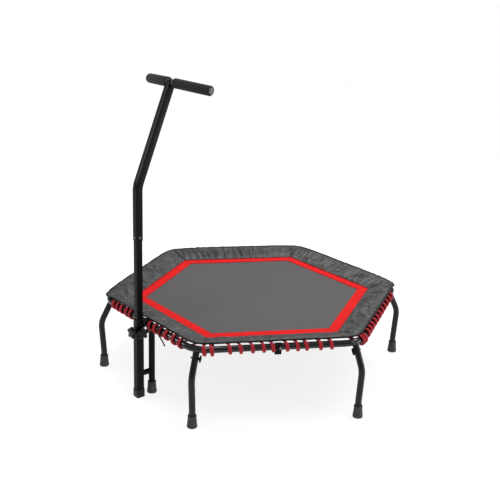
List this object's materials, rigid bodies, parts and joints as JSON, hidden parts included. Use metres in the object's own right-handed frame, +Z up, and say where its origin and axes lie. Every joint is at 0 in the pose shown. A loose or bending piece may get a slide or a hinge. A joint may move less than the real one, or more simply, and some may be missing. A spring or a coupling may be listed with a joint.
{
  "type": "mini trampoline",
  "caption": "Hexagonal rebounder with a woven mat laced to a bolted tube frame by elastic cords, splayed legs with rubber feet and a height-adjustable T-bar handle.",
  "frame": {"origin": "centre of the footprint, on the floor", "axes": "+Z up, +X to the right seen from the handle's side, -Y towards the handle's column"},
  "size_m": [1.3054, 1.1822, 1.2469],
  "materials": {
    "gloss_black_steel": "gloss powder coat",
    "satin_black_steel": "satin powder coat",
    "zinc_plated_steel": "zinc plated",
    "foot_rubber": "matt",
    "grip_foam": "soft closed-cell foam",
    "black_plastic": "moulded, satin",
    "grey_plastic": "moulded, satin",
    "red_elastic_cord": "braided sleeve",
    "black_cord": "braided",
    "mat_weave": "woven polypropylene",
    "red_webbing": "woven webbing",
    "cover_fabric": "coated cloth, creased"
  },
  "bodies": {
    "frame": {"frame_tube_1": "gloss_black_steel", "frame_tube_2": "gloss_black_steel", "frame_tube_3": "gloss_black_steel", "frame_coupler_1": "satin_black_steel", "frame_coupler_2": "satin_black_steel", "frame_coupler_3": "satin_black_steel", "coupler_bolt_1": "zinc_plated_steel", "coupler_bolt_2": "zinc_plated_steel", "coupler_bolt_3": "zinc_plated_steel", "leg_1": "satin_black_steel", "leg_2": "satin_black_steel", "leg_3": "satin_black_steel", "leg_4": "satin_black_steel", "leg_5": "satin_black_steel", "leg_6": "satin_black_steel", "leg_foot_1": "foot_rubber", "leg_foot_2": "foot_rubber", "leg_foot_3": "foot_rubber", "leg_foot_4": "foot_rubber", "leg_foot_5": "foot_rubber", "leg_foot_6": "foot_rubber", "leg_screw_1": "satin_black_steel", "leg_screw_2": "satin_black_steel", "leg_screw_3": "satin_black_steel", "leg_screw_4": "satin_black_steel", "leg_screw_5": "satin_black_steel", "leg_screw_6": "satin_black_steel", "support_post": "satin_black_steel", "post_foot": "foot_rubber", "frame_bracket": "satin_black_steel", "upper_link": "gloss_black_steel", "lower_link": "satin_black_steel", "base_tube": "satin_black_steel", "base_tube_cap": "black_plastic", "guide_bush": "black_plastic", "front_boss": "satin_black_steel", "side_boss": "satin_black_steel", "safety_cover": "cover_fabric", "elastic_cord_1": "red_elastic_cord", "elastic_cord_2": "red_elastic_cord", "elastic_cord_3": "red_elastic_cord", "elastic_cord_4": "red_elastic_cord", "elastic_cord_5": "red_elastic_cord", "elastic_cord_6": "red_elastic_cord", "drawcord_end": "black_cord"},
    "bed": {"jump_mat": "mat_weave", "mat_border": "red_webbing"},
    "handle": {"inner_tube": "satin_black_steel", "handle_tube": "satin_black_steel", "joint_screw_front": "zinc_plated_steel", "joint_screw_side": "zinc_plated_steel", "t_bar": "satin_black_steel", "grip_left": "grip_foam", "grip_right": "grip_foam", "bar_plug_left": "grey_plastic", "bar_plug_right": "grey_plastic"},
    "front_stud": {"front_stud": "zinc_plated_steel"},
    "front_knob": {"front_knob": "black_plastic"},
    "side_stud": {"side_stud": "zinc_plated_steel"},
    "side_knob": {"side_knob": "black_plastic"}
  },
  "joints": [
    {"name": "bed_bounce", "type": "slide", "parent": "frame", "child": "bed", "axis": [0, 0, 1], "range_m": [-0.15, 0], "stiffness_N_per_m": 5000, "springref_m": 0.006, "deforming": ["safety_cover", "elastic_cord_1", "elastic_cord_2", "elastic_cord_3", "elastic_cord_4", "elastic_cord_5", "elastic_cord_6"]},
    {"name": "handle_height", "type": "slide", "parent": "frame", "child": "handle", "axis": [0, 0, 1], "range_m": [-0.15, 0.05]},
    {"name": "front_stud_travel", "type": "slide", "parent": "frame", "child": "front_stud", "axis": [0, -1, 0], "range_m": [0, 0.0026]},
    {"name": "front_knob_turn", "type": "hinge", "parent": "front_stud", "child": "front_knob", "pos_m": [0, -0.5836, 0.277], "axis": [0, -1, 0], "range_deg": [0, 720]},
    {"name": "side_stud_travel", "type": "slide", "parent": "frame", "child": "side_stud", "axis": [1, 0, 0], "range_m": [0, 0.0026]},
    {"name": "side_knob_turn", "type": "hinge", "parent": "side_stud", "child": "side_knob", "pos_m": [0.03, -0.5536, 0.277], "axis": [1, 0, 0], "range_deg": [0, 720]}
  ],
  "couplings": [
    {"joint": "front_stud_travel", "follows": "front_knob_turn", "m_per_rad": 0.00019894},
    {"joint": "side_stud_travel", "follows": "side_knob_turn", "m_per_rad": 0.00019894}
  ]
}
